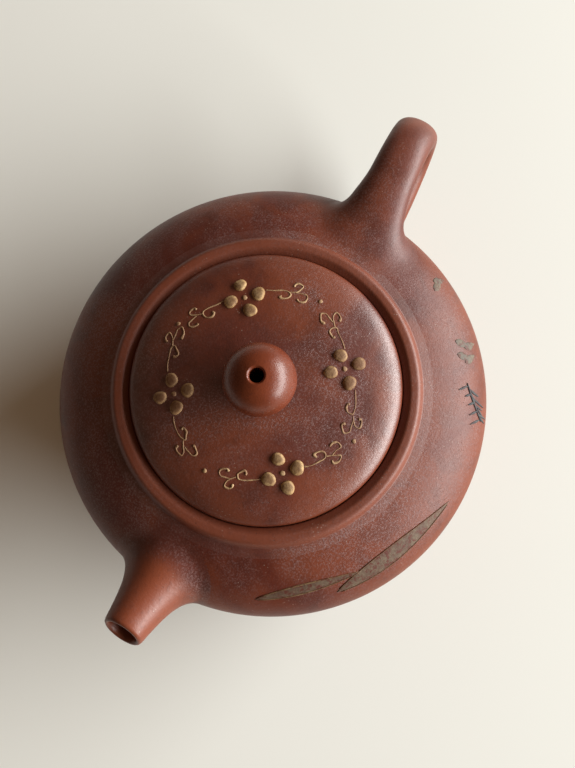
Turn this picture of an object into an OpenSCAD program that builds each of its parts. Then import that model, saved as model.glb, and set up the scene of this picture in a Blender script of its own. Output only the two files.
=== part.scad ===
// Round clay teapot with an inset domed lid, a short straight spout and an ear handle.
// Frame: origin on the pot's axis at the resting plane, +Z up, +X toward the spout, -X toward the handle.
// Millimetres. Each module is one piece of clay as it is luted on, in its place in the whole pot.

/* [Pot body] */
// Largest outside radius of the belly
belly_radius = 57.5; // [50:0.5:65]
// Height of the belly's widest ring above the table
belly_height = 24; // [20:0.5:30]
// How far the upper half would rise above the widest ring
shoulder_rise = 19.4; // [15:0.1:24]
// How far the lower half would drop below the widest ring
belly_drop = 28; // [24:0.5:34]
// Thickness of the clay wall
wall = 3; // [2:0.1:4]
// Height of the foot ring
foot_height = 2.2; // [1.5:0.1:4]
// Outside radius of the foot ring
foot_radius = 35; // [30:0.5:40]

/* [Mouth and lid] */
// Radius of the opening that the lid's flange drops into
throat_radius = 30.4; // [28:0.1:32]
// Inside radius of the collar around the lid
collar_bore = 33.9; // [32:0.1:36]
// Height of the ledge that the lid rests on
ledge_height = 37.2; // [35:0.1:39]
// Radius of the lid's edge
lid_radius = 33.6; // [31:0.1:35.6]
// Height of the lid's edge above the table
lid_edge_height = 39.8; // [38:0.1:41]
// Rise of the lid's dome above its edge
lid_rise = 6.2; // [4:0.1:10]
// Gap between the resting lid and the ledge
lid_gap = 0.2; // [0.1:0.05:0.5]
// Depth of the lid's flange below the lid
flange_depth = 7; // [4:0.5:10]

/* [Knob] */
// Radius of the knob's ball
knob_radius = 8.5; // [6:0.1:10]
// Height of the middle of the knob
knob_height = 51.7; // [49:0.1:55]
// Half height of the knob's ball above its middle
knob_top = 7.4; // [5:0.1:9]
// Radius of the air hole through the knob
vent_radius = 1.65; // [1:0.05:2.5]

/* [Spout] */
// Angle of the spout's axis above the horizontal, in degrees
spout_angle = 34; // [25:1:45]
// Distance of the spout's mouth from the pot's axis
spout_reach = 67.6; // [64:0.1:75]
// Height of the middle of the spout's mouth
spout_height = 38.5; // [36:0.1:42]
// Outside radius of the spout at its mouth
spout_tip_radius = 5.2; // [4.7:0.1:7]
// Radius of the spout's channel
spout_bore = 3.9; // [3:0.1:5]

/* [Handle] */
// Width of the handle's strap, as a part of its usual width
strap_width_scale = 1; // [0.85:0.05:1.15]
// How far the strap's roots sit off the pot's own plane, as a part of their usual offset
strap_lean = 1; // [-1:0.1:1.5]

/* [Slip decoration] */
// Height of the trailed slip above the clay
slip_height = 0.32; // [0.15:0.01:0.6]
// Half width of a trailed line
line_half_width = 0.3; // [0.2:0.01:0.5]

/* [Hidden] */
$fn = 96;
clay = [0.43, 0.22, 0.16];
clay_light = [0.52, 0.28, 0.19];
ochre = [0.62, 0.49, 0.24];
greygreen = [0.36, 0.36, 0.28];
slate = [0.22, 0.25, 0.28];

// ---------- shared outlines ----------
function upper_z(r, a = 0) = belly_height + (shoulder_rise - a) * sqrt(max(0, 1 - pow(r / (belly_radius - a), 2)));
function lower_z(r, a = 0) = belly_height - (belly_drop - a) * sqrt(max(0, 1 - pow(r / (belly_radius - a), 2)));
function lower_r(z, a = 0) = (belly_radius - a) * sqrt(max(0, 1 - pow((belly_height - z) / (belly_drop - a), 2)));
function lid_top(r) = lid_edge_height + lid_rise * sqrt(max(0, 1 - pow(min(1, abs(r) / lid_radius), 2.4)));

seam_r = 50;                                  // where the shoulder sheet meets the belly strip
seam_in = 47.3;
foot_in = foot_radius - 4.6;
floor_r = 38;                                 // where the base sheet meets the belly strip

// outer curve of the belly strip, from the base seam up to the shoulder seam
belly_outer = concat(
    [for (k = [0:11]) let (t = 1 - k / 12, a0 = acos(floor_r / belly_radius)) [belly_radius * cos(a0 * t), belly_height - belly_drop * sin(a0 * t)]],
    [for (k = [0:9]) let (t = k / 9, a1 = acos(seam_r / belly_radius)) [belly_radius * cos(a1 * t), belly_height + shoulder_rise * sin(a1 * t)]]);
belly_inner = concat(
    [for (k = [0:8]) let (t = 1 - k / 9, a0 = acos((floor_r - 1.2) / (belly_radius - wall))) [(belly_radius - wall) * cos(a0 * t), belly_height - (belly_drop - wall) * sin(a0 * t)]],
    [for (k = [0:7]) let (t = k / 7, a1 = acos(seam_in / (belly_radius - wall))) [(belly_radius - wall) * cos(a1 * t), belly_height + (shoulder_rise - wall) * sin(a1 * t)]]);
shoulder_outer = [for (k = [0:6]) let (r = seam_r + (41.5 - seam_r) * k / 6) [r, upper_z(r)]];
shoulder_inner = [for (k = [0:4]) let (r = seam_in + (37 - seam_in) * k / 4) [r, upper_z(r, wall) - 1.3 * pow(k / 4, 2)]];

// spout axis
spout_dir = [cos(spout_angle), 0, sin(spout_angle)];
spout_up = [-sin(spout_angle), 0, cos(spout_angle)];
spout_mouth = [spout_reach, 0, spout_height];

// the solid space that the pot's outer skin encloses; spout, handle and decoration end on it
module pot_space() {
    rotate_extrude($fn = 96)
        polygon(concat([[0, foot_height - 0.01]], [[foot_radius, foot_height - 0.01]], [[foot_radius + 0.4, foot_height]], belly_outer,
                       [for (k = [1:6]) shoulder_outer[k]], [[0, shoulder_outer[6][1]]]));
}

// turn about the spout's axis: x outward from the axis, z along the spout from the mouth
module along_spout() {
    translate(spout_mouth) rotate([0, 90 - spout_angle, 0]) children();
}

// ---------- pot body ----------
module foot_ring() {
    color(clay) rotate_extrude($fn = 96)
        polygon([[foot_in + 0.5, 0], [foot_radius - 0.7, 0], [foot_radius - 0.1, 0.5], [foot_radius, 1.2],
                 [foot_radius, foot_height], [foot_in, foot_height], [foot_in, 0.6]]);
}

module base_disc() {
    color(clay) rotate_extrude($fn = 96)
        polygon([[0, foot_height], [foot_radius, foot_height], belly_outer[0], belly_inner[0],
                 [30, foot_height + wall], [0, foot_height + wall]]);
}

module belly_wall() {
    color(clay) difference() {
        rotate_extrude($fn = 96)
            polygon(concat(belly_outer, [for (k = [len(belly_inner) - 1:-1:0]) belly_inner[k]]));
        along_spout() translate([0, 0, -26]) cylinder(r = spout_bore, h = 30, $fn = 48);
    }
}

module shoulder_disc() {
    color(clay) rotate_extrude($fn = 96)
        polygon(concat([shoulder_outer[0]], [for (k = [1:6]) shoulder_outer[k]], [[41.4, ledge_height], [throat_radius, ledge_height],
                 [throat_radius, ledge_height - 2.2], [throat_radius + 0.6, ledge_height - 2.8]],
                 [for (k = [4:-1:0]) shoulder_inner[k]]));
}

module neck_ring() {
    color(clay_light) rotate_extrude($fn = 96)
        polygon([[collar_bore, ledge_height], [41.4, ledge_height], [40.6, 37.62], [39.7, 38.05], [39.05, 38.6], [38.65, 39.2],
                 [38.25, 39.75], [37.7, 40.1], [37.0, 40.2], [36.2, 40.12], [35.3, 39.85], [34.6, 39.5], [34.1, 39.05], [collar_bore, 38.6]]);
}

// ---------- spout ----------
// where a line along the spout, off its axis by q, leaves the belly; distance behind the mouth
function skin_t(q) = let (
        o = spout_mouth + q, d = -spout_dir,
        tu = skin_root(o, d, shoulder_rise), zu = o[2] + tu * d[2])
    zu >= belly_height ? tu : skin_root(o, d, belly_drop);
function skin_root(o, d, b) = let (
        e = belly_radius,
        A = (d[0] * d[0] + d[1] * d[1]) / (e * e) + d[2] * d[2] / (b * b),
        B = 2 * ((o[0] * d[0] + o[1] * d[1]) / (e * e) + (o[2] - belly_height) * d[2] / (b * b)),
        C = (o[0] * o[0] + o[1] * o[1]) / (e * e) + pow(o[2] - belly_height, 2) / (b * b) - 1)
    (-B - sqrt(max(0, B * B - 4 * A * C))) / (2 * A);
// radius of the spout's root around its axis, wider at the sides than above and below
function root_r(f) = sqrt(pow(12.6 * cos(f), 2) + pow((sin(f) > 0 ? 10.8 : 10.2) * sin(f), 2));
function cone_r(t) = spout_tip_radius + 0.12 * t + 0.0078 * t * t;
function spout_pt(u, f) = let (
        off = [0, cos(f), 0] , up = spout_up * sin(f),
        tr = skin_t((off + up) * root_r(f)),
        t = u * tr,
        s = max(0, (u - 0.35) / 0.65),
        r = cone_r(t) + (root_r(f) - cone_r(tr)) * pow(s, 2.6))
    spout_mouth - spout_dir * t + (off + up) * r;

module ring_loft(rings) {
    n = len(rings[0]);
    m = len(rings);
    pts = concat([for (r = rings) each r], [[for (c = [0:2]) add([for (p = rings[0]) p[c]]) / n], [for (c = [0:2]) add([for (p = rings[m - 1]) p[c]]) / n]]);
    faces = concat(
        [for (i = [0:m - 2], j = [0:n - 1]) each [[i * n + j, i * n + (j + 1) % n, (i + 1) * n + j], [i * n + (j + 1) % n, (i + 1) * n + (j + 1) % n, (i + 1) * n + j]]],
        [for (j = [0:n - 1]) [(j + 1) % n, j, m * n]],
        [for (j = [0:n - 1]) [(m - 1) * n + j, (m - 1) * n + (j + 1) % n, m * n + 1]]);
    polyhedron(points = pts, faces = faces, convexity = 6);
}
function add(v, i = 0) = i < len(v) ? v[i] + add(v, i + 1) : 0;

module spout() {
    steps = 12;
    sides = 32;
    rings = concat(
        [[for (j = [0:sides - 1]) let (f = -360 * j / sides) spout_mouth + spout_dir * 0 + ([0, cos(f), 0] + spout_up * sin(f)) * (spout_bore + 0.75)]],
        [[for (j = [0:sides - 1]) let (f = -360 * j / sides) spout_mouth - spout_dir * 0.45 + ([0, cos(f), 0] + spout_up * sin(f)) * spout_tip_radius]],
        [for (k = [1:steps]) [for (j = [0:sides - 1]) spout_pt(0.08 + 0.92 * k / steps, -360 * j / sides)]],
        [[for (j = [0:sides - 1]) let (f = -360 * j / sides, p = spout_pt(1, f)) p - spout_dir * 5 - ([0, cos(f), 0] + spout_up * sin(f)) * 1.5]]);
    color(clay_light) difference() {
        ring_loft(rings);
        pot_space();
        along_spout() translate([0, 0, -30]) cylinder(r = spout_bore, h = 40, $fn = 48);
    }
}

// ---------- handle ----------
// stations of the strap's middle line, out from the shoulder and back to the belly: x, z, half width, half thickness, y
strap = [[-44, 30.4, 12.4, 7.0, 1.4], [-51.5, 32.3, 9.6, 5.7, 1.3], [-58, 34.0, 7.6, 4.6, 1.1], [-64, 34.7, 6.4, 4.1, 0.7],
         [-69, 34.8, 6.15, 3.9, 0.3], [-74, 34.0, 6.0, 3.85, -0.1], [-79.2, 31.6, 6.0, 3.8, -0.45], [-83.6, 26.9, 6.05, 3.7, -0.75],
         [-84.3, 20.6, 6.05, 3.7, -0.6], [-80, 15.0, 5.8, 3.8, 0.2], [-72.5, 12.0, 5.75, 3.9, 1], [-65.5, 10.9, 5.95, 4.1, 1.4],
         [-57, 10.3, 7.6, 4.7, 1.6], [-47, 10.8, 9.4, 5.2, 1.6], [-37, 11.6, 9.0, 5.0, 1.6]];
function cr(v, i, u) = let (n = len(v), p0 = v[max(0, i - 1)], p1 = v[i], p2 = v[min(n - 1, i + 1)], p3 = v[min(n - 1, i + 2)])
    0.5 * (2 * p1 + (p2 - p0) * u + (2 * p0 - 5 * p1 + 4 * p2 - p3) * u * u + (3 * p1 - p0 - 3 * p2 + p3) * u * u * u);
function spline(v, per) = concat([for (i = [0:len(v) - 2], k = [0:per - 1]) cr(v, i, k / per)], [v[len(v) - 1]]);

module handle() {
    line = spline(strap, 3);
    n = len(line);
    sides = 20;
    rings = [for (i = [0:n - 1]) let (
            a = line[max(0, i - 1)], b = line[min(n - 1, i + 1)],
            t = [b[0] - a[0], b[1] - a[1]] / norm([b[0] - a[0], b[1] - a[1]]),
            nx = -t[1], nz = t[0], c = line[i])
        [for (j = [0:sides - 1]) let (f = 360 * j / sides,
                q = strap_lean * c[4] + strap_width_scale * c[2] * sign(cos(f)) * pow(abs(cos(f)), 0.92), h = c[3] * sign(sin(f)) * pow(abs(sin(f)), 0.92))
            [c[0] + nx * h, q, c[1] + nz * h]]];
    color(clay_light) difference() {
        ring_loft(rings);
        pot_space();
    }
}

// ---------- slip decoration ----------
// a point on the lid or on the pot's skin at an azimuth and radius, raised by h along z
function on_lid(a, r, h = 0) = [r * cos(a), r * sin(a), lid_top(r) + h];
function on_pot(a, r, h = 0) = [r * cos(a), r * sin(a), upper_z(r) + h];
function unit(v) = v / norm(v);
function lid_normal(p) = let (r = norm([p[0], p[1]]), s = (lid_top(r + 0.1) - lid_top(r - 0.1)) / 0.2) unit([-s * p[0] / r, -s * p[1] / r, 1]);
function pot_normal(p) = unit([p[0] / pow(belly_radius, 2), p[1] / pow(belly_radius, 2), (p[2] - belly_height) / pow(p[2] > belly_height ? shoulder_rise : belly_drop, 2)]);

// a raised stroke over a surface: middle points, a normal at each, half widths and heights
module stroke(pts, nrm, w, h, sink = 0.15) {
    n = len(pts);
    rings = [for (i = [0:n - 1]) let (
            t = unit(pts[min(n - 1, i + 1)] - pts[max(0, i - 1)]),
            b = unit(cross(nrm[i], t)), u = nrm[i], p = pts[i])
        [p + b * w[i] - u * sink * 0.4, p + b * w[i] * 0.62 + u * h[i] * 0.8, p + u * h[i], p - b * w[i] * 0.62 + u * h[i] * 0.8,
         p - b * w[i] - u * sink * 0.4, p - u * sink]];
    ring_loft(rings);
}
function fade(i, n, f = 0.18) = let (t = i / (n - 1)) min(1, 0.35 + 0.65 * min(t, 1 - t) / f);

// vine strokes beside a blossom: along the ring from the blossom, outward from the ring
vine_stem = [[0, 0], [1.9, 0.25], [4.0, 0.6], [5.7, 0.7], [6.2, -0.1], [5.8, -1.1], [4.7, -1.8], [3.8, -1.6], [4.0, -0.9]];
vine_curl = [[6.75, 0.95], [7.4, 1.5], [8.3, 2.6], [8.3, 3.6], [7.4, 3.9], [6.5, 3.4], [6.6, 2.7]];
vine_hook = [[8.05, 1.2], [8.9, 1.5], [10.0, 1.5], [10.6, 0.8], [10.2, -0.3], [9.2, -0.9], [8.4, -0.6]];

module vine(az, side, ring, gap = 5) {
    for (s = [vine_stem, vine_curl, vine_hook]) {
        line = spline(s, 3);
        pts = [for (q = line) on_lid(az + side * (gap + q[0] * 0.92) / blossom_ring * 57.3, ring + q[1] * 0.85)];
        n = len(pts);
        stroke(pts, [for (p = pts) lid_normal(p)], [for (i = [0:n - 1]) line_half_width * fade(i, n)], [for (i = [0:n - 1]) slip_height * fade(i, n)]);
    }
}

// blossoms: azimuth, distance from the middle, and how much further out the vines before and after it lie
blossom_ring = 21.3;
blossoms = [[43, 21.5, 1.0, 0.5], [129.8, 19.8, 2.3, 1.6], [221.7, 21.6, 1.3, 0.8], [306, 21.3, 2.0, 1.3]];
module lid_vines() {
    color(ochre) for (b = blossoms) {
        vine(b[0], -1, b[1] + b[2]);
        vine(b[0], 1, b[1] + b[3]);
    }
}

module blossom_petals() {
    color(ochre) for (b = blossoms, k = [0:3])
        let (q = [cos(90 * k + 7), sin(90 * k + 7)] * 3.45,
             c = [b[1] + q[0], q[1]], r = norm(c), az = b[0] + atan2(c[1], c[0]), p = on_lid(az, r), n = lid_normal(p))
            translate(p - n * 0.15) rotate([0, acos(n[2]), atan2(n[1], n[0])]) scale([1, 1, 0.62]) sphere(r = 1.6, $fn = 24);
}

module blossom_hearts() {
    color(ochre) for (b = blossoms)
        let (p = on_lid(b[0], b[1]), n = lid_normal(p))
            translate(p - n * 0.1) rotate([0, acos(n[2]), atan2(n[1], n[0])]) scale([1, 1, 0.7]) sphere(r = 0.6, $fn = 16);
}

module lid_dots() {
    color(ochre) for (q = [[-3.5, 24.5], [87.6, 25.4], [175.2, 24.4], [264, 25.6]])
        let (p = on_lid(q[0], q[1]), n = lid_normal(p))
            translate(p - n * 0.1) rotate([0, acos(n[2]), atan2(n[1], n[0])]) scale([1, 1, 0.7]) sphere(r = 0.6, $fn = 16);
}

// one long leaf over the shoulder: azimuths and radii of its two ends, bow of its middle, half width
module leaf(a0, r0, a1, r1, bow, half, h) {
    n = 20;
    pts = [for (i = [0:n]) let (t = i / n) on_pot(a0 + (a1 - a0) * t, r0 + (r1 - r0) * t + bow * 4 * t * (1 - t))];
    stroke(pts, [for (p = pts) pot_normal(p)], [for (i = [0:n]) let (t = i / n) 0.12 + half * pow(sin(180 * pow(t, 0.8)), 0.9)], [for (i = [0:n]) h], 0.5);
}

module leaf_blades() {
    color(greygreen) {
        leaf(27, 51.8, 57.6, 50.4, -1.4, 1.25, 0.2);
        leaf(49.3, 52.9, 88.5, 53.4, -2.0, 2.3, 0.2);
    }
}

module leaf_veins() {
    color(ochre) {
        leaf(30, 52.7, 55, 51.8, -1.2, 0.3, 0.36);
        leaf(54, 54.6, 80, 54.8, -1.2, 0.3, 0.36);
    }
}

module needle_sprig() {
    color(slate) for (k = [0:7])
        let (a = 109.6 + k * 1.7, r = 52.0 + 0.9 * sin(k * 97))
            leaf(a, r, a + 0.7 * sin(k * 71), r + 3.4 - 0.4 * (k % 3), 0, 0.42, 0.3);
}

module foliage_tufts() {
    color(greygreen) {
        for (q = [[127.5, 52.6], [130.2, 50.6], [131.6, 53.6], [134.4, 51.4], [150.5, 51.6], [153.4, 53.6]])
            let (p = on_pot(q[0], q[1]), n = pot_normal(p))
                translate(p - n * 0.25) rotate([0, acos(n[2]), atan2(n[1], n[0])]) scale([1, 1.25, 0.4]) sphere(r = 1.5, $fn = 20);
    }
}

// ---------- lid ----------
lid_under = ledge_height + lid_gap;
lid_curve = [for (r = [33.6, 33.35, 32.9, 32.2, 31, 29.5, 27.5, 25, 22, 18.5, 15, 11.5, 7]) [r * lid_radius / 33.6, lid_top(r * lid_radius / 33.6)]];
module lid_disc() {
    color(clay) difference() {
        rotate_extrude($fn = 96)
            polygon(concat([[0, lid_top(7)]], [for (k = [12:-1:0]) lid_curve[k]],
                [[lid_radius, lid_under + 0.4], [lid_radius - 0.4, lid_under], [27.4, lid_under], [26.6, lid_under + 0.9], [24, 39.9], [19, 41.2], [12, 42.3], [0, 42.8]]));
        translate([0, 0, 30]) cylinder(r = vent_radius, h = 30, $fn = 48);
    }
}

module lid_flange() {
    color(clay) rotate_extrude($fn = 96)
        polygon([[27.4, lid_under], [30.0, lid_under], [30.0, lid_under - flange_depth + 0.8], [29.4, lid_under - flange_depth],
                 [28.2, lid_under - flange_depth], [27.4, lid_under - flange_depth + 0.8]]);
}

module lid_knob() {
    base = lid_top(7);
    color(clay_light) difference() {
        rotate_extrude($fn = 96)
            polygon(concat([[0, base], [6.9, base], [6.2, base + 0.2], [5.75, base + 0.55], [5.7, base + 0.85]],
                [for (a = [-52:8:84]) [knob_radius * cos(a), knob_height + (a < 0 ? knob_height - base - 0.35 : knob_top) * sin(a) * (a < 0 ? 0.98 : 1)]],
                [[0, knob_height + knob_top]]));
        translate([0, 0, 30]) cylinder(r = vent_radius, h = 40, $fn = 48);
        translate([0, 0, knob_height + knob_top - 0.5]) cylinder(r1 = vent_radius, r2 = vent_radius + 0.6, h = 0.6, $fn = 48);
    }
}

foot_ring();
base_disc();
belly_wall();
shoulder_disc();
neck_ring();
spout();
handle();
leaf_blades();
leaf_veins();
needle_sprig();
foliage_tufts();
lid_disc();
lid_flange();
lid_knob();
blossom_petals();
blossom_hearts();
lid_vines();
lid_dots();
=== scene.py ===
"""Looks for the round clay teapot: smooth clay pieces, slip decoration, camera and light."""
import math
import random

import bmesh
import bpy
import numpy as np
from mathutils import Matrix, Vector


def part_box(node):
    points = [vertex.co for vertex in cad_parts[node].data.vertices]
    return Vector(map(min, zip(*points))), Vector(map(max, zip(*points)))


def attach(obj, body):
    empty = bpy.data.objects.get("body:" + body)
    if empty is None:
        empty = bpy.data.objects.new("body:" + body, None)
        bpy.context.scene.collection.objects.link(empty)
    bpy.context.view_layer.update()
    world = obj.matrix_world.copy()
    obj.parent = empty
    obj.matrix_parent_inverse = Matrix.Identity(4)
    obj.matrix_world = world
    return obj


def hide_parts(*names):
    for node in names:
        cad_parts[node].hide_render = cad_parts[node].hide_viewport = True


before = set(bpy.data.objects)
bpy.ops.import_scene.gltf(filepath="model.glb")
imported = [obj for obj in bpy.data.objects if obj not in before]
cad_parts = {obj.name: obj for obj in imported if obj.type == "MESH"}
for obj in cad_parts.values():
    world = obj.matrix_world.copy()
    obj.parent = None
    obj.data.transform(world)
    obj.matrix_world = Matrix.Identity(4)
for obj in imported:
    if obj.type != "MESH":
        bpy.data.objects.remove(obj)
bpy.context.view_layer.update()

MM = 0.001
AROUND = 224                       # segments round a turned piece

# ---------------------------------------------------------------- driving sizes, mm
_, belly_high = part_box("belly_wall")
BELLY_R = belly_high[1] / MM + 0.15            # the skin is an ellipsoid, widest at this radius and height
BELLY_Z = 24.0
RISE, DROP, WALL = 19.4, 28.0, 3.0             # its half heights above and below that, and the wall
FOOT_R, FOOT_H = 35.0, 2.2
FLOOR_R = 38.0                                 # where the belly strip meets the base sheet
SEAM_R, SEAM_IN = 50.0, 47.3                   # where it meets the shoulder, outside and inside
THROAT_R, LEDGE_Z = 30.4, 37.2                 # the mouth, and the ledge that the lid lies on
COLLAR_R, LIP_FOOT, COLLAR_OUT = 33.9, 38.9, 41.4
LID_R, LID_EDGE, LID_RISE = 33.6, 39.8, 6.2
FLANGE_IN, FLANGE_OUT, FLANGE_DEEP = 27.4, 30.0, 7.0
KNOB_R, KNOB_Z, KNOB_UP, KNOB_DOWN = 8.5, 51.7, 7.4, 5.5
NECK_FOOT_R, NECK_R = 7.0, 5.7
VENT_R = 1.65
SPOUT_ANGLE = math.radians(34)                 # the spout's rise above level
SPOUT_MOUTH = Vector((67.6, 0, 38.5))
SPOUT_TIP_R, SPOUT_BORE = 5.2, 3.9
SPOUT_TAPER, SPOUT_FLARE = 0.12, 0.0078        # its radius's growth with depth, and with depth squared
MOUTH_CUT = 0.05                               # how much nearer level than square the mouth is cut
BORE_END = 18.6                                # how deep the spout's own bore goes
DRILL_FROM, DRILL_TO = 6, 26                   # depths between which the belly wall is drilled for it
ROOT_STEPS, ROOT_SINK = 14, 0.35               # rings in a limb's soft joint, and how deep its edge ends
SPOUT_SPREAD, STRAP_SPREAD_TOP, STRAP_SPREAD_LOW = 5.2, 6.2, 5.0


# ---------------------------------------------------------------- surfaces
def half_height(z):
    return RISE if z > BELLY_Z else DROP


def skin_z(r):
    """Height of the shoulder's outer skin at a radius."""
    return BELLY_Z + RISE * math.sqrt(max(0.0, 1 - (r / BELLY_R) ** 2))


def lid_z(r):
    """Height of the lid's dome at a radius."""
    return LID_EDGE + LID_RISE * math.sqrt(max(0.0, 1 - min(1.0, abs(r) / LID_R) ** 2.4))


def skin_normal(p):
    upward = (p.z - BELLY_Z) / half_height(p.z) ** 2
    return Vector((p.x / BELLY_R ** 2, p.y / BELLY_R ** 2, upward)).normalized()


def lid_normal(p):
    r = math.hypot(p.x, p.y)
    slope = (lid_z(r + 0.05) - lid_z(r - 0.05)) / 0.1
    return Vector((-slope * p.x / r, -slope * p.y / r, 1)).normalized()


def off_skin(p):
    """How far outside the pot's skin a point lies, as a part of the pot's size: 0 on the skin."""
    wide_sq = (p.x ** 2 + p.y ** 2) / BELLY_R ** 2
    return math.sqrt(wide_sq + (p.z - BELLY_Z) ** 2 / half_height(p.z) ** 2) - 1


def skin_hit(origin, direction):
    """Where a line from outside first meets the pot's skin."""
    best = None
    for half, above in ((RISE, True), (DROP, False)):
        a = (direction.x ** 2 + direction.y ** 2) / BELLY_R ** 2 + direction.z ** 2 / half ** 2
        b = 2 * ((origin.x * direction.x + origin.y * direction.y) / BELLY_R ** 2
                 + (origin.z - BELLY_Z) * direction.z / half ** 2)
        c = (origin.x ** 2 + origin.y ** 2) / BELLY_R ** 2 + (origin.z - BELLY_Z) ** 2 / half ** 2 - 1
        disc = b * b - 4 * a * c
        if disc < 0:
            continue
        t = (-b - math.sqrt(disc)) / (2 * a)
        p = origin + direction * t
        if (p.z >= BELLY_Z) == above and (best is None or t < best[0]):
            best = (t, p)
    return best[1] if best else None


def onto_skin(p):
    """The point moved to the pot's skin along the line to a ring inside the belly."""
    r = math.hypot(p.x, p.y)
    core = Vector((p.x, p.y, 0)) * (0.45 * BELLY_R / r)
    core.z = BELLY_Z
    return skin_hit(p + (p - core) * 3, (core - p).normalized())


# ---------------------------------------------------------------- mesh helpers
def link_mesh(name, verts, faces):
    """A new object from points in mm, with its faces turned outwards."""
    mesh = bpy.data.meshes.new(name)
    mesh.from_pydata([tuple(c * MM for c in v) for v in verts], [], faces)
    bm = bmesh.new()
    bm.from_mesh(mesh)
    bmesh.ops.recalc_face_normals(bm, faces=bm.faces)
    bm.to_mesh(mesh)
    bm.free()
    obj = bpy.data.objects.new(name, mesh)
    bpy.context.collection.objects.link(obj)
    return obj


def make(name, verts, faces, body, node, mat, slot, normals=None):
    """A smooth piece that rides on a body and stands for a CAD node."""
    obj = link_mesh(name, verts, faces)
    obj.data.shade_smooth()
    obj.data.materials.append(mat)
    if normals:
        set_normals(obj, normals)
    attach(obj, body)
    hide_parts(node)
    return obj


def set_normals(obj, rule):
    """rule(point in mm, smooth normal) gives the normal to shade a vertex with."""
    mesh = obj.data
    out = [tuple(rule(v.co / MM, v.normal.copy())) for v in mesh.vertices]
    mesh.normals_split_custom_set_from_vertices(out)


def skin_rule(p, n):
    """Turned pieces of the pot's skin share its exact normals, so their seams don't show."""
    on_skin = abs(off_skin(p)) < 0.002 and math.hypot(p.x, p.y) > FLOOR_R - 0.5
    return skin_normal(p) if on_skin else n


def root_rule(p, n):
    """Near its root a limb is shaded with the skin's own normal, so that the joint is smooth."""
    off = off_skin(p) * 30
    if abs(off) > 1:
        return n
    w = 1 - min(1, max(0, off) / 0.5)
    s = skin_normal(p)
    return (n * (1 - w) + s * w).normalized() if n.dot(s) > 0.2 else n


def fillet(points, steps=6):
    """Closed outline with round corners: each point is (r, z) or (r, z, corner radius)."""
    out = []
    n = len(points)
    for i, q in enumerate(points):
        p = Vector(q[:2])
        rad = q[2] if len(q) > 2 else 0
        a, b = Vector(points[i - 1][:2]) - p, Vector(points[(i + 1) % n][:2]) - p
        if not rad:
            out.append(tuple(p))
            continue
        half = a.angle(b) / 2
        cut = min(rad / math.tan(half), 0.48 * a.length, 0.48 * b.length)
        s, e = p + a.normalized() * cut, p + b.normalized() * cut
        for k in range(steps + 1):
            t = k / steps
            out.append(tuple(s * (1 - t) ** 2 + p * 2 * t * (1 - t) + e * t * t))
    return out


def dense(points, longest):
    """Outline with its long stretches split, so that shading and bump stay even."""
    out = []
    for i, p in enumerate(points):
        q = points[(i + 1) % len(points)]
        n = max(1, math.ceil(math.dist(p, q) / longest))
        if p[0] < 1e-6 and q[0] < 1e-6:
            n = 1
        out += [(p[0] + (q[0] - p[0]) * k / n, p[1] + (q[1] - p[1]) * k / n) for k in range(n)]
    return out


def circle(count):
    """Angles evenly round a circle."""
    return [2 * math.pi * j / count for j in range(count)]


def lathe(name, outline, body, node, mat, slot, normals=None, around=AROUND, longest=2.5):
    """A closed turned piece. Points with r = 0 are its poles, and a third value rounds a corner."""
    verts, ring = [], []
    for r, z in dense(fillet(outline), longest):
        if r < 1e-6:
            ring.append([len(verts)])
            verts.append((0, 0, z))
        else:
            ring.append(list(range(len(verts), len(verts) + around)))
            verts += [(r * math.cos(a), r * math.sin(a), z) for a in circle(around)]
    faces = []
    for i, a in enumerate(ring):
        b = ring[(i + 1) % len(ring)]
        if len(a) == 1 and len(b) == 1:
            continue
        for j in range(around):
            k = (j + 1) % around
            if len(a) == 1:
                faces.append((a[0], b[k], b[j]))
            elif len(b) == 1:
                faces.append((a[j], a[k], b[0]))
            else:
                faces.append((a[j], a[k], b[k], b[j]))
    return make(name, verts, faces, body, node, mat, slot, normals)


def loft(rings, closed=False):
    """Verts and faces of rings joined in order, closed into a loop or else capped at both ends."""
    n, m = len(rings[0]), len(rings)
    verts = [tuple(p) for ring in rings for p in ring]
    faces = []
    for i in range(m if closed else m - 1):
        a, b = i * n, (i + 1) % m * n
        faces += [(a + j, a + (j + 1) % n, b + (j + 1) % n, b + j) for j in range(n)]
    if not closed:
        for base, ring in ((0, rings[0]), ((m - 1) * n, rings[-1])):
            mid = sum((Vector(p) for p in ring), Vector()) / n
            verts.append(tuple(mid))
            faces += [(base + j, base + (j + 1) % n, len(verts) - 1) for j in range(n)]
    return verts, faces


def merge(parts):
    """Several lofts as one."""
    verts, faces = [], []
    for v, f in parts:
        k = len(verts)
        verts += v
        faces += [tuple(i + k for i in q) for q in f]
    return verts, faces


def transposed(columns):
    """Rings from the columns of points that run across them."""
    return [[col[i] for col in columns] for i in range(len(columns[0]))]


def spline(points, per):
    """Catmull-Rom curve through points of any dimension."""
    pts = [np.array(p, float) for p in points]
    out = []
    for i in range(len(pts) - 1):
        p0, p1, p2, p3 = pts[max(0, i - 1)], pts[i], pts[i + 1], pts[min(len(pts) - 1, i + 2)]
        square, cube = 2 * p0 - 5 * p1 + 4 * p2 - p3, 3 * p1 - p0 - 3 * p2 + p3
        for k in range(per):
            u = k / per
            out.append(0.5 * (2 * p1 + (p2 - p0) * u + square * u * u + cube * u ** 3))
    return out + [pts[-1]]


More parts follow.
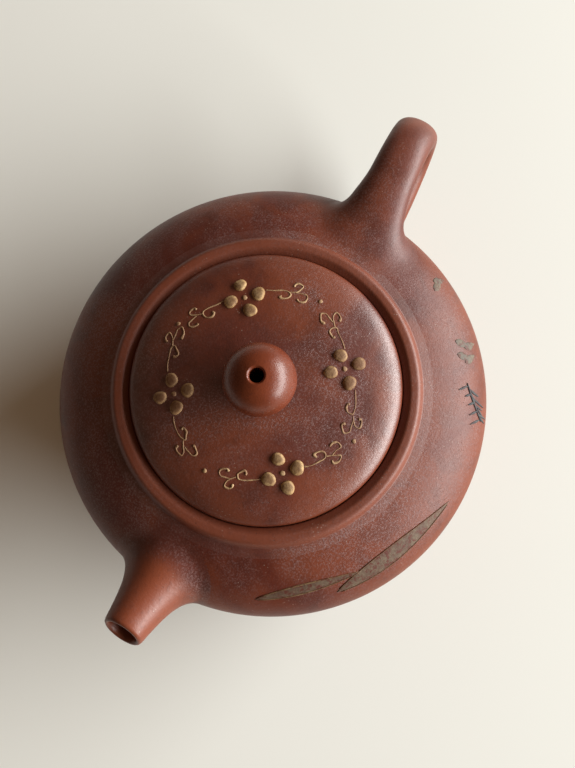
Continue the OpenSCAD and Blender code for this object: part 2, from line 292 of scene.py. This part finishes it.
# ---------------------------------------------------------------- materials
class Nodes:
    """Short calls for building a node tree. Texture scales are in repeats per metre."""

    def __init__(self, name):
        self.mat = bpy.data.materials.new(name)
        self.mat.use_nodes = True
        self.tree = self.mat.node_tree
        self.tree.nodes.clear()
        out = self.tree.nodes.new("ShaderNodeOutputMaterial")
        self.shader = self.tree.nodes.new("ShaderNodeBsdfPrincipled")
        self.join(self.shader.outputs[0], out.inputs[0])
        self.coord = self.tree.nodes.new("ShaderNodeTexCoord").outputs["Object"]

    def join(self, a, b):
        self.tree.links.new(a, b)

    def put(self, socket, value):
        if isinstance(value, bpy.types.NodeSocket):
            self.join(value, socket)
        elif value is not None:
            socket.default_value = value

    def node(self, kind, inputs=None, **props):
        n = self.tree.nodes.new(kind)
        for k, v in props.items():
            setattr(n, k, v)
        for k, v in (inputs or {}).items():
            self.put(n.inputs[k], v)
        return n

    def finish(self, colour, rough, gloss, normal=None):
        """Puts the look on the shader and returns the material."""
        self.put(self.shader.inputs["Base Color"], colour)
        self.put(self.shader.inputs["Roughness"], rough)
        self.put(self.shader.inputs["Normal"], normal)
        self.shader.inputs["Specular IOR Level"].default_value = gloss
        return self.mat

    def noise(self, scale, detail=3.0, rough=0.5, warp=0.0):
        inputs = {"Vector": self.coord, "Scale": scale, "Detail": detail, "Roughness": rough,
                  "Distortion": warp}
        return self.node("ShaderNodeTexNoise", inputs).outputs["Fac"]

    def cells(self, scale, at=None):
        """Distance from the nearest of many scattered points."""
        inputs = {"Vector": at or self.coord, "Scale": scale}
        return self.node("ShaderNodeTexVoronoi", inputs).outputs["Distance"]

    def math(self, op, a, b=None, c=None, clamp=False):
        n = self.node("ShaderNodeMath", operation=op, use_clamp=clamp)
        for i, v in enumerate((a, b, c)):
            self.put(n.inputs[i], v)
        return n.outputs[0]

    def times(self, a, b):
        return self.math("MULTIPLY", a, b)

    def step(self, value, low, high, lo_out=0.0, hi_out=1.0):
        """A smooth step from lo_out to hi_out as the value goes from low to high."""
        inputs = {"Value": value, "From Min": low, "From Max": high, "To Min": lo_out, "To Max": hi_out}
        return self.node("ShaderNodeMapRange", inputs, interpolation_type="SMOOTHSTEP").outputs[0]

    def mix(self, fac, a, b):
        """Colour a turning to b as fac goes from 0 to 1."""
        n = self.node("ShaderNodeMix", data_type="RGBA")
        self.put(n.inputs[0], fac)
        for i, v in ((6, a), (7, b)):
            self.put(n.inputs[i], (*v, 1) if isinstance(v, tuple) else v)
        return n.outputs[2]

    def bump(self, height, distance, strength, before=None):
        inputs = {"Height": height, "Distance": distance, "Strength": strength, "Normal": before}
        return self.node("ShaderNodeBump", inputs).outputs[0]

    def stretched(self, scale):
        return self.node("ShaderNodeVectorMath", {0: self.coord, 1: scale}, operation="MULTIPLY").outputs[0]

    def along(self, way):
        """Distance of a point along a direction, in metres."""
        inputs = {0: self.coord, 1: way}
        return self.node("ShaderNodeVectorMath", inputs, operation="DOT_PRODUCT").outputs["Value"]

    def radius(self):
        """Distance of a point from the pot's axis, in metres."""
        flat = self.stretched((1, 1, 0))
        return self.node("ShaderNodeVectorMath", {0: flat}, operation="LENGTH").outputs["Value"]

    def facing_up(self):
        """1 where the surface faces straight up, 0 where it stands upright."""
        normal = self.node("ShaderNodeNewGeometry").outputs["Normal"]
        return self.node("ShaderNodeSeparateXYZ", {0: normal}).outputs[2]

    def off_skin(self):
        """How far outside the pot's skin a point lies, as a part of the pot's size: 0 on the skin."""
        wide = self.math("DIVIDE", self.radius(), BELLY_R * MM)
        rise = self.math("SUBTRACT", self.along((0, 0, 1)), BELLY_Z * MM)
        half = self.step(rise, -0.0001, 0.0001, DROP * MM, RISE * MM)
        tall = self.math("DIVIDE", rise, half)
        sum_sq = self.math("ADD", self.times(wide, wide), self.times(tall, tall))
        return self.math("SUBTRACT", self.math("SQRT", sum_sq), 1.0)


CLAY = (0.086, 0.0150, 0.0078)
CLAY_WARM = (0.165, 0.0330, 0.0085)
CLAY_CLEAN = (0.160, 0.0345, 0.0120)
CLAY_DARK = (0.040, 0.0082, 0.0052)
CLAY_FLECK = (0.30, 0.21, 0.17)
CLAY_PIT = (0.018, 0.006, 0.004)
DUST = (0.200, 0.112, 0.104)
SLIP_GLOSS = 0.35
TO_BOTTOM, TO_LEFT = (0.866, 0.5, 0), (0.5, -0.866, 0)     # towards the picture's lower and left edges


def clay(name, dust, rough, gloss, clean=None):
    """Unglazed clay. dust is how much grey haze lies on what faces up, and clean(nodes) gives where handling
    has rubbed it back to bare orange clay."""
    m = Nodes(name)
    broad = m.noise(30, 3, 0.55, warp=0.7)
    patch = m.noise(110, 4, 0.6, warp=0.4)
    fine = m.noise(900, 4, 0.65)
    grain = m.noise(2600, 2, 0.6)
    rubbed = clean(m) if clean else 0.0
    colour = m.mix(m.times(m.step(broad, 0.4, 0.62), 0.8), CLAY, CLAY_WARM)
    colour = m.mix(m.times(m.step(patch, 0.52, 0.34), 0.4), colour, CLAY_DARK)
    colour = m.mix(rubbed, colour, CLAY_CLEAN)
    colour = m.mix(m.times(m.step(fine, 0.5, 0.75), 0.3), colour, CLAY_DARK)
    colour = m.mix(m.times(m.step(grain, 0.52, 0.3), 0.2), colour, CLAY_WARM)
    # grey haze of fine specks on what faces up, thin where the clay has been rubbed
    cloud = m.times(m.step(m.noise(26, 4, 0.62, warp=0.7), 0.31, 0.60), m.step(m.facing_up(), 0.4, 0.95))
    cloud = m.times(cloud, m.math("MULTIPLY_ADD", rubbed, -0.85, 1.0))
    speck = m.step(m.noise(2100, 3, 0.75), 0.50, 0.60)
    haze = m.times(m.math("MULTIPLY_ADD", speck, 0.82, 0.18), m.times(cloud, dust))
    colour = m.mix(haze, colour, DUST)
    # a few pale flecks and dark pits
    fleck = m.times(m.step(m.cells(1100), 0.22, 0.1), m.step(m.noise(210, 2), 0.56, 0.66))
    colour = m.mix(m.times(fleck, 0.2 + 0.5 * dust), colour, CLAY_FLECK)
    holes = m.cells(900, m.stretched((1.0, 1.0, 1.3)))
    pit = m.times(m.step(holes, 0.16, 0.05), m.step(m.noise(170, 2), 0.5, 0.62))
    colour = m.mix(m.times(pit, 0.6), colour, CLAY_PIT)
    # rougher where it is dusty and in patches
    shine = m.math("ADD", m.times(haze, 0.15), m.math("MULTIPLY_ADD", patch, 0.18, rough - 0.09))
    shine = m.math("MULTIPLY_ADD", fine, 0.1, shine, clamp=True)
    relief = m.math("SUBTRACT", m.math("MULTIPLY_ADD", grain, 0.5, fine), m.times(pit, 0.8))
    relief = m.math("MULTIPLY_ADD", m.times(speck, cloud), 0.5 * dust, relief)
    waves = m.bump(m.noise(70, 2, 0.4), 0.0004, 0.5)
    return m.finish(colour, shine, gloss, m.bump(relief, 0.00007, 0.8, waves))


def slip(name, body, edge, worn, wear, domed=False, patch=260, side_wear_and_shade=0.45):
    """Coloured slip, thin and matt. body and edge are its two tones, and worn shows through its grain and on
    the tops of domed beads. wear is how much of it is gone in patches, and the last argument how much of it
    gives way to bare clay at the left and right in the picture: wear on both sides, and painted shade too at
    the left."""
    m = Nodes(name)
    blotch = m.noise(420, 4, 0.65)
    fine = m.noise(1700, 3, 0.6)
    colour = m.mix(m.step(blotch, 0.38, 0.62), body, edge)
    colour = m.mix(m.times(m.step(fine, 0.5, 0.66), 0.55), colour, worn)
    if domed:
        colour = m.mix(m.times(m.step(m.facing_up(), 0.86, 0.98), 0.6), colour, worn)
    # bare clay at the picture's left and right: wear, and at the left, where the pot lies in shade, painted
    # shade as well
    sides = m.times(m.step(m.math("ABSOLUTE", m.along(TO_LEFT)), 0.009, 0.022), side_wear_and_shade)
    bare = m.math("MAXIMUM", sides, m.times(m.step(m.noise(patch, 4, 0.7), 0.46, 0.62), wear))
    colour = m.mix(bare, colour, CLAY)
    shine = m.math("MULTIPLY_ADD", blotch, 0.2, 0.52, clamp=True)
    return m.finish(colour, shine, SLIP_GLOSS, m.bump(m.math("ADD", fine, blotch), 0.00009, 0.9))


M_BODY = clay("clay_body", dust=0.85, rough=0.36, gloss=0.3, clean=lambda m: m.times(
    m.step(m.along(TO_BOTTOM), 0.030, 0.048), m.step(m.noise(38, 3, 0.6), 0.36, 0.56, 0, 0.6)))
M_LID = clay("clay_lid", dust=0.65, rough=0.34, gloss=0.75, clean=lambda m: m.times(
    m.step(m.math("ABSOLUTE", m.along(TO_BOTTOM)), 0.010, 0.023),
    m.step(m.noise(55, 3, 0.6), 0.38, 0.56, 0, 0.6)))
M_COLLAR = clay("clay_collar", dust=0.85, rough=0.46, gloss=0.6,
                clean=lambda m: m.step(m.radius(), 39.2 * MM, 38.0 * MM, 0, 0.85))
M_SPOUT = clay("clay_spout", dust=0.8, rough=0.4, gloss=0.5, clean=lambda m: m.step(m.off_skin(), 0.02, 0.13))
M_HANDLE = clay("clay_handle", dust=0.6, rough=0.42, gloss=0.45,
                clean=lambda m: m.step(m.off_skin(), 0.12, 0.5, 0, 0.35))
M_KNOB = clay("clay_knob", dust=0.08, rough=0.27, gloss=0.42,
              clean=lambda m: m.step(m.noise(60), 0.2, 0.6, 0.3, 0.6))
M_INSIDE = clay("clay_inside", dust=0.0, rough=0.7, gloss=0.3)
M_PETAL = slip("slip_petal", (0.29, 0.170, 0.066), (0.44, 0.290, 0.135), (0.10, 0.05, 0.023),
               wear=0.3, domed=True)
M_VINE = slip("slip_vine", (0.33, 0.205, 0.10), (0.42, 0.285, 0.15), (0.19, 0.10, 0.05), wear=0.4)
M_LEAF = slip("slip_leaf", (0.092, 0.054, 0.034), (0.125, 0.088, 0.056), (0.070, 0.028, 0.018),
              wear=0.9, patch=800, side_wear_and_shade=0)
M_LEAF_LINE = slip("slip_leaf_line", (0.21, 0.135, 0.065), (0.17, 0.105, 0.05), (0.12, 0.066, 0.034),
                   wear=0.75)
M_SLATE = slip("slip_slate", (0.024, 0.029, 0.034), (0.06, 0.066, 0.066), (0.02, 0.02, 0.024),
               wear=0.25, side_wear_and_shade=0)
M_TUFT = slip("slip_tuft", (0.10, 0.095, 0.075), (0.15, 0.13, 0.09), (0.07, 0.06, 0.045),
              wear=0.85, patch=600, side_wear_and_shade=0.2)


# ---------------------------------------------------------------- turned pieces of the pot
def arc(r0, r1, upper, n, inset=0.0):
    """Points on the skin's ellipse between two radii, evenly spaced in angle; inset is how far inside it."""
    wide = BELLY_R - inset
    tall = RISE - inset if upper else inset - DROP
    a0, a1 = (math.acos(min(1, r / wide)) for r in (r0, r1))
    angles = [a0 + (a1 - a0) * k / n for k in range(n + 1)]
    return [(wide * math.cos(a), BELLY_Z + tall * math.sin(a)) for a in angles]


INNER_R = BELLY_R - WALL
belly_out = arc(FLOOR_R, BELLY_R, False, 30)[:-1] + arc(BELLY_R, SEAM_R, True, 14)
belly_in = arc(SEAM_IN, INNER_R, True, 12, WALL)[:-1] + arc(INNER_R, FLOOR_R - 1.2, False, 24, WALL)
belly = lathe("belly_skin", belly_out + belly_in, "pot", "belly_wall", M_BODY, "clay_body")
sheet_top = FOOT_H + WALL
lathe("base_sheet", [(0, FOOT_H), (FOOT_R, FOOT_H), belly_out[0], belly_in[-1], (30, sheet_top),
                     (0, sheet_top)], "pot", "base_disc", M_BODY, "clay_body", skin_rule)
lathe("foot_rim", [(FOOT_R - 4.6, FOOT_H), (FOOT_R - 4.5, 0, 0.6), (FOOT_R - 0.2, 0, 0.8), (FOOT_R, FOOT_H)],
      "pot", "foot_ring", M_BODY, "clay_body")
shoulder_edge = [(COLLAR_OUT - 0.1, LEDGE_Z), (THROAT_R, LEDGE_Z, 0.5), (THROAT_R, LEDGE_Z - 2.8, 0.6),
                 (37, skin_z(37) - 3.9)]
lathe("shoulder", arc(SEAM_R, COLLAR_OUT, True, 12) + shoulder_edge + arc(40, SEAM_IN, True, 6, WALL),
      "pot", "shoulder_disc", M_BODY, "clay_body", skin_rule)

# collar: steep inner face, broad rounded lip, soft valley out to the shoulder
collar_lip = [(COLLAR_R, LEDGE_Z), (COLLAR_R, 39.2, 0.5), (35.6, 40.35, 1.5), (37.7, 40.3, 1.5),
              (LIP_FOOT, skin_z(LIP_FOOT), 1.2)]
lathe("collar", collar_lip + arc(COLLAR_OUT, 40, True, 4)[::-1] + [(COLLAR_OUT, LEDGE_Z)],
      "pot", "neck_ring", M_COLLAR, "clay_handled", skin_rule, longest=1.0)

# ---------------------------------------------------------------- lid
lid_curve = [(r, lid_z(r)) for r in [LID_R * math.sin(math.pi / 2 * k / 40) for k in range(40, 5, -1)]]
hub_r, hub_z = lid_curve[-1]
lid_base = LEDGE_Z + 0.2
lid_under = [(LID_R, lid_base, 0.5), (FLANGE_IN, lid_base), (26.4, lid_base + 1.4, 1.2), (19, 41.2, 3),
             (8, 42.6, 3), (VENT_R, 42.8)]
lathe("lid_dome", [(VENT_R, hub_z)] + lid_curve[::-1] + lid_under, "lid", "lid_disc", M_LID, "clay_body")
flange_low = lid_base - FLANGE_DEEP
lathe("lid_inner_ring", [(FLANGE_IN, lid_base), (FLANGE_OUT, lid_base), (FLANGE_OUT, flange_low, 0.8),
                         (FLANGE_IN, flange_low, 0.8)], "lid", "lid_flange", M_INSIDE, "clay_body")

ball = [math.radians(d) for d in range(-54, 73, 6)]
knob_ball = [(KNOB_R * math.cos(a), KNOB_Z + (KNOB_UP if a > 0 else KNOB_DOWN) * math.sin(a)) for a in ball]
rim_r = VENT_R + 0.4
rim_z = KNOB_Z + KNOB_UP * math.sqrt(1 - (rim_r / KNOB_R) ** 2)
knob_neck = [(VENT_R, hub_z), (NECK_FOOT_R, hub_z), (NECK_R, hub_z + 0.9, 0.8)]
lathe("knob", knob_neck + knob_ball + [(rim_r, rim_z, 0.3), (VENT_R, rim_z - 0.45, 0.35)],
      "lid", "lid_knob", M_KNOB, "clay_handled", longest=1.2, around=128)

# ---------------------------------------------------------------- spout
AXIS = Vector((math.cos(SPOUT_ANGLE), 0, math.sin(SPOUT_ANGLE)))
ACROSS = Vector((0, 1, 0))
RAISE = Vector((-math.sin(SPOUT_ANGLE), 0, math.cos(SPOUT_ANGLE)))


def root_fillet(start, hit, centre, spread):
    """Points of a soft joint: from a limb's surface, past its corner with the skin, out along the skin."""
    n = skin_normal(hit)
    away = hit - centre
    away = (away - n * away.dot(n)).normalized()
    end = onto_skin(hit + away * spread)
    out = []
    for k in range(1, ROOT_STEPS + 1):
        t = k / ROOT_STEPS
        out.append(start * (1 - t) ** 2 + hit * 2 * t * (1 - t) + end * t * t)
    return out + [onto_skin(end + away * 0.6) - skin_normal(end) * ROOT_SINK]


def spout_rings(sides=96):
    columns = []
    centre = skin_hit(SPOUT_MOUTH + AXIS * 5, -AXIS)
    for f in circle(sides):
        side = ACROSS * math.cos(f) + RAISE * math.sin(f)

        def at(t, radius=None):
            """A point behind the mouth, which is cut a little nearer level than square."""
            flare = SPOUT_FLARE * (1 + 0.55 * min(0, math.sin(f)))
            radius = SPOUT_TIP_R + SPOUT_TAPER * t + flare * t * t if radius is None else radius
            cut = MOUTH_CUT * radius * math.sin(f) * max(0, 1 - t / 9)
            return SPOUT_MOUTH - AXIS * (t + cut) + side * radius

        # how far behind the mouth this line of the spout meets the skin, found by halving
        low, high = 4.0, 30.0
        for _ in range(30):
            mid = (low + high) / 2
            low, high = (mid, high) if off_skin(at(mid)) > 0 else (low, mid)
        begin = low - min(0.55 * low, 8)
        start, slope = at(begin), (at(begin + 0.5) - at(begin)).normalized()
        lip = [at(0.9, SPOUT_BORE), at(0.25, SPOUT_BORE + 0.15), at(0, SPOUT_BORE + 0.5),
               at(0.02, SPOUT_TIP_R - 0.5), at(0.28, SPOUT_TIP_R - 0.14), at(0.75, SPOUT_TIP_R + 0.06)]
        wall = [at(0.75 + (begin - 0.75) * k / 10) for k in range(1, 11)]
        inner = [at(t, SPOUT_BORE) for t in (BORE_END, 16, 12, 8, 4)]
        columns.append(lip + wall + root_fillet(start, skin_hit(start, slope), centre, SPOUT_SPREAD) + inner)
    return transposed(columns)


def drill(obj, start, end, radius, sides=64):
    """Cuts a round hole through a piece, between two points in mm."""
    way = (end - start).normalized()
    u = way.orthogonal().normalized()
    v = way.cross(u)
    rings = [[p + (u * math.cos(a) + v * math.sin(a)) * radius for a in circle(sides)] for p in (start, end)]
    bit = link_mesh("drill", *loft(rings))
    cut = obj.modifiers.new("cut", "BOOLEAN")
    cut.operation, cut.solver, cut.object = "DIFFERENCE", "EXACT", bit
    done = bpy.data.meshes.new_from_object(obj.evaluated_get(bpy.context.evaluated_depsgraph_get()))
    obj.modifiers.clear()
    obj.data = done
    bpy.data.objects.remove(bit)


drill(belly, SPOUT_MOUTH - AXIS * DRILL_FROM, SPOUT_MOUTH - AXIS * DRILL_TO, SPOUT_BORE + 0.1)
set_normals(belly, skin_rule)
make("spout_shell", *loft(spout_rings(), closed=True), "pot", "spout", M_SPOUT, "clay_handled", root_rule)

# ---------------------------------------------------------------- handle
# middle line of the strap from the shoulder round to the belly: x, z, half width, half thickness, y
STRAP = [(-57.6, 33.9, 7.6, 4.6, 1.1), (-60.5, 34.4, 6.9, 4.3, 0.9), (-64, 34.7, 6.4, 4.05, 0.7),
         (-69, 34.8, 6.15, 3.9, 0.3), (-74, 34.0, 6.0, 3.85, -0.1), (-79.2, 31.6, 6.0, 3.8, -0.45),
         (-83.6, 26.9, 6.05, 3.7, -0.75), (-84.3, 20.6, 6.05, 3.7, -0.6), (-80, 15.0, 5.8, 3.8, 0.2),
         (-72.5, 12.0, 5.75, 3.9, 1), (-65.5, 10.9, 5.95, 4.1, 1.4), (-60.5, 10.5, 6.6, 4.4, 1.5),
         (-57, 10.3, 7.4, 4.8, 1.6)]


def rounded(wave):
    """A sine or cosine made a little fuller, for a section between an oval and a soft rectangle."""
    return math.copysign(abs(wave) ** 0.9, wave)


def strap_rings(sides=64):
    line = spline(STRAP, 8)
    rings = []
    for i, (x, z, half_wide, half_thick, y) in enumerate(line):
        a, b = line[max(0, i - 1)], line[min(len(line) - 1, i + 1)]
        t = Vector((b[0] - a[0], 0, b[1] - a[1])).normalized()
        up = Vector((-t.z, 0, t.x))
        rings.append([Vector((x, y, z)) + ACROSS * (half_wide * rounded(math.cos(f)))
                      + up * (half_thick * rounded(math.sin(f))) for f in circle(sides)])
    return rings


def grow_root(rings, at_start, spread):
    """Adds the soft joint to one end of the strap and returns the rings in the same order."""
    ring, behind = (rings[0], rings[2]) if at_start else (rings[-1], rings[-3])
    mid = sum(ring, Vector()) / len(ring)
    inward = (mid - sum(behind, Vector()) / len(behind)).normalized()
    centre = skin_hit(mid - inward * 2, inward)
    columns = []
    for f, p, q in zip(circle(len(ring)), ring, behind):
        wide = spread * (0.6 + 1.0 * abs(math.cos(f)))
        way = (inward * 0.35 + (p - q).normalized() * 0.65).normalized()
        columns.append(root_fillet(p, skin_hit(p, way), centre, wide))
    extra = transposed(columns)
    return extra[::-1] + rings if at_start else rings + extra


strap = grow_root(strap_rings(), True, STRAP_SPREAD_TOP)
strap = grow_root(strap, False, STRAP_SPREAD_LOW)
make("handle_strap", *loft(strap), "pot", "handle", M_HANDLE, "clay_handled", root_rule)

# ---------------------------------------------------------------- slip decoration
rng = random.Random(7)
STROKE_TOP = [math.radians(d) for d in (0, 25, 55, 90, 125, 155, 180)]
VINE_RING_R = 21.3                 # the radius at which a millimetre along a vine is turned into an angle
VINE_START = 5                     # where a vine begins, from its blossom's middle
BEAD_WOBBLE, BEAD_SIDES = 0.06, 28
DEEP = 0.4                         # how far a leaf's stroke reaches under the skin


def stroke(points, normals, widths, heights, sink=0.12):
    """Rings of a raised stroke: a rounded bead over a surface."""
    rings = []
    for i, (p, n, w, h) in enumerate(zip(points, normals, widths, heights)):
        t = (points[min(len(points) - 1, i + 1)] - points[max(0, i - 1)]).normalized()
        b = n.cross(t).normalized()
        top = [p + b * (w * math.cos(a)) + n * (h * math.sin(a) - 0.03) for a in STROKE_TOP]
        rings.append(top + [p - b * (w * 0.7) - n * sink, p + b * (w * 0.7) - n * sink])
    return rings


def at_lid(azimuth, r):
    a = math.radians(azimuth)
    return Vector((r * math.cos(a), r * math.sin(a), lid_z(r)))


def at_skin(azimuth, r):
    a = math.radians(azimuth)
    return Vector((r * math.cos(a), r * math.sin(a), skin_z(r)))


def bead(centre, radius, height):
    """A soft dome of slip on the lid with a slightly uneven outline."""
    normal = lid_normal(centre)
    t = normal.cross(Vector((1, 0, 0.3))).normalized()
    b = normal.cross(t)
    phase = [rng.uniform(0, 6.28) for _ in range(3)]
    rings = []
    for e in [math.radians(90 - 10 * k) for k in range(1, 10)]:
        up = normal * (height * math.sin(e) ** 0.8 - 0.02)
        ring = []
        for a in circle(BEAD_SIDES):
            uneven = (math.sin(2 * a + phase[0]) + 0.6 * math.sin(3 * a + phase[1])
                      + 0.3 * math.sin(5 * a + phase[2]))
            r = radius * (1 + BEAD_WOBBLE * uneven) * math.cos(e) ** 0.85
            ring.append(centre + t * (r * math.cos(a)) + b * (r * math.sin(a)) + up)
        rings.append(ring)
    rings.append([p - normal * 0.25 for p in rings[-1]])
    return loft(rings)


# blossoms: azimuth, distance from the middle, and how far out its two vines lie
BLOSSOMS = ((43, 21.5, 1.0, 0.5), (129.8, 19.8, 2.3, 1.6), (221.7, 21.6, 1.3, 0.8), (306, 21.3, 2.0, 1.3))
# a vine's strokes: how far along the lid's edge and how far out, from its start
VINE = {
    "stem": [(0, 0), (1.9, 0.25), (4.0, 0.6), (5.7, 0.7), (6.2, -0.1), (5.8, -1.1), (4.7, -1.8), (3.8, -1.6),
             (4.0, -0.9)],
    "curl": [(6.1, 0.6), (7.4, 1.5), (8.3, 2.6), (8.3, 3.6), (7.4, 3.9), (6.5, 3.4), (6.6, 2.7)],
    "hook": [(7.4, 1.4), (8.9, 1.5), (10.0, 1.5), (10.6, 0.8), (10.2, -0.3), (9.2, -0.9), (8.4, -0.6)],
}


def vine(azimuth, ring, side, out):
    parts = []
    tilt, size = rng.uniform(-0.5, 0.5), rng.uniform(0.88, 0.98)
    for route in VINE.values():
        jog = [(u + rng.uniform(-0.22, 0.22), v + rng.uniform(-0.25, 0.25)) for u, v in route]
        pts = [at_lid(azimuth + side * math.degrees((VINE_START + u * size) / VINE_RING_R),
                      ring + out + v * 0.85 + tilt * u / 10) for u, v in spline(jog, 8)]
        n = len(pts)
        bulge = [0.26 + 0.07 * math.sin(i * 0.33 + tilt * 9) for i in range(n)]
        taper = [0.55 + 0.75 * (i / n) ** 2 if i < n - 2 else 0.8 for i in range(n)]
        widths = [b * t for b, t in zip(bulge, taper)]
        parts.append(loft(stroke(pts, [lid_normal(p) for p in pts], widths, [0.24 * t for t in taper])))
    return merge(parts)


vines = [vine(a, r, side, out) for a, r, before, after in BLOSSOMS
         for side, out in ((-1, before), (1, after))]
make("vines", *merge(vines), "lid", "lid_vines", M_VINE, "slip_ochre")

petals, hearts = [], []
for a, ring, _, _ in BLOSSOMS:
    for k in range(4):
        arm, turn = rng.uniform(3.35, 3.6), k * math.pi / 2 + rng.uniform(0.06, 0.2)
        x, y = ring + arm * math.cos(turn), arm * math.sin(turn)
        p = at_lid(a + math.degrees(math.atan2(y, x)), math.hypot(x, y))
        petals.append(bead(p, rng.uniform(1.52, 1.72), rng.uniform(0.7, 0.9)))
    hearts.append(bead(at_lid(a, ring), radius=0.6, height=0.35))
DOTS = ((-3.5, 24.5), (87.6, 25.4), (175.2, 24.4), (264, 25.6))     # azimuth and radius
dots = [bead(at_lid(a, r), radius=0.52, height=0.3) for a, r in DOTS]
make("petals", *merge(petals), "lid", "blossom_petals", M_PETAL, "slip_ochre")
make("hearts", *merge(hearts), "lid", "blossom_hearts", M_VINE, "slip_ochre")
make("dots", *merge(dots), "lid", "lid_dots", M_VINE, "slip_ochre")


def leaf_path(a0, r0, a1, r1, bow, n=40):
    """A bowed line over the shoulder from one azimuth and radius to another."""
    return [at_skin(a0 + (a1 - a0) * i / n, r0 + (r1 - r0) * i / n + bow * 4 * (i / n) * (1 - i / n))
            for i in range(n + 1)]


def leaf_half(half, i, n):
    """Half the width of a leaf at point i of n, from thin ends to about half in the middle."""
    return 0.08 + half * math.sin(math.pi * (i / n) ** 0.8) ** 0.9


def skin_stroke(path, widths, height):
    return loft(stroke(path, [skin_normal(p) for p in path], widths, [height] * len(path), DEEP))


def leaf(path, half, height):
    n = len(path) - 1
    return skin_stroke(path, [leaf_half(half, i, n) for i in range(n + 1)], height)


def leaf_rim(path, half, side, width, height):
    """A thin line along one edge of a leaf."""
    n = len(path) - 1
    edge = []
    for i, p in enumerate(path):
        along = (path[min(n, i + 1)] - path[max(0, i - 1)]).normalized()
        q = p + skin_normal(p).cross(along).normalized() * (side * leaf_half(half, i, n))
        edge.append(at_skin(math.degrees(math.atan2(q.y, q.x)), math.hypot(q.x, q.y)))
    wide = [width * (0.5 + 0.5 * math.sin(math.pi * i / (n - 2))) for i in range(n - 1)]
    return skin_stroke(edge[1:-1], wide, height)


BLADES = ((leaf_path(27, 51.8, 57.6, 50.4, -1.4), 1.25), (leaf_path(49.3, 52.9, 88.5, 53.4, -2.0), 2.3))
blades = [leaf(path, half, height=0.16) for path, half in BLADES]
make("leaves", *merge(blades), "pot", "leaf_blades", M_LEAF, "slip_grey_green")
rims = [leaf_rim(path, half, side, width=0.17, height=0.26) for path, half in BLADES for side in (-1, 1)]
make("leaf_lines", *merge(rims), "pot", "leaf_veins", M_LEAF_LINE, "slip_ochre")

# a sprig: one twig with short needles off it
needles = [leaf(leaf_path(121.6, 50.7, 111.6, 55.0, -0.4, n=20), half=0.34, height=0.3)]
for k in range(13):
    a = 120.8 - 0.74 * k
    r = 50.9 + 0.31 * k - 0.3 * math.sin(2.1 * k)
    out = 1 if k % 3 else -1
    path = leaf_path(a, r, a - 1.3 - 0.5 * math.sin(1.7 * k), r + out * rng.uniform(1.5, 2.9), 0, n=12)
    needles.append(leaf(path, half=0.25, height=0.24))
make("needles", *merge(needles), "pot", "needle_sprig", M_SLATE, "slip_slate")

# tufts of foliage: azimuth, radius and how far the tip leans round, in degrees
TUFTS = ((127.6, 52.6, 2), (130.2, 50.8, -1.5), (131.8, 53.4, 1), (134.2, 51.2, -2), (150.5, 52, 2),
         (153.2, 53.4, -1))
tufts = [leaf(leaf_path(a, r - 1.7, a + lean, r + 1.7, 0, n=14), half=1.0, height=0.14)
         for a, r, lean in TUFTS]
make("tufts", *merge(tufts), "pot", "foliage_tufts", M_TUFT, "slip_grey_green")

# ---------------------------------------------------------------- floor, light, camera
SPAN = 6.0                         # half the floor's side, m
mesh = bpy.data.meshes.new("floor")
mesh.from_pydata([(-SPAN, -SPAN, 0), (SPAN, -SPAN, 0), (SPAN, SPAN, 0), (-SPAN, SPAN, 0)], [], [(0, 1, 2, 3)])
floor = bpy.data.objects.new("floor", mesh)
bpy.context.collection.objects.link(floor)
f = Nodes("floor_paint")
paint = f.mix(f.times(f.noise(9, 4, 0.6), 0.35), (0.795, 0.81, 0.765), (0.75, 0.76, 0.71))
mesh.materials.append(f.finish(paint, rough=0.75, gloss=0.2))

# warm light from the whole room fills the shadows
ROOM_COLOUR, ROOM_STRENGTH = (1.0, 0.62, 0.37, 1), 0.145
world = bpy.data.worlds.new("room")
world.use_nodes = True
background = world.node_tree.nodes["Background"]
background.inputs[0].default_value = ROOM_COLOUR
background.inputs[1].default_value = ROOM_STRENGTH
bpy.context.scene.world = world
bpy.context.scene.view_settings.view_transform = "Standard"


def area(name, azimuth, elevation, distance, size, power, colour):
    """A soft lamp that faces the pot. Angles in degrees, distance and size in metres, power in watts."""
    light = bpy.data.lights.new(name, "AREA")
    light.shape = "RECTANGLE"
    light.size, light.size_y = size
    light.energy = power
    light.color = colour
    lamp = bpy.data.objects.new(name, light)
    a, e = math.radians(azimuth), math.radians(elevation)
    lamp.location = Vector((math.cos(a) * math.cos(e), math.sin(a) * math.cos(e), math.sin(e))) * distance
    lamp.rotation_euler = (-lamp.location).to_track_quat("-Z", "Y").to_euler()
    bpy.context.collection.objects.link(lamp)


area("window", azimuth=121, elevation=20.5, distance=1.7, size=(3.0, 0.62), power=108,
     colour=(1.0, 1.0, 0.985))

CAM_AT = Vector((10.3, 21.6, 185.3)) * MM
FORWARD = Vector((-0.0931, -0.1154, -0.989)).normalized()
RIGHT = Vector((-0.4993, 0.8648, -0.0539))
RIGHT = (RIGHT - FORWARD * RIGHT.dot(FORWARD)).normalized()
UP = RIGHT.cross(FORWARD)
cam_data = bpy.data.cameras.new("camera")
cam_data.lens = 28.125
cam_data.clip_start = 0.01
cam = bpy.data.objects.new("camera", cam_data)
cam.matrix_world = Matrix.Translation(CAM_AT) @ Matrix((RIGHT, UP, -FORWARD)).transposed().to_4x4()
bpy.context.collection.objects.link(cam)
bpy.context.scene.camera = cam
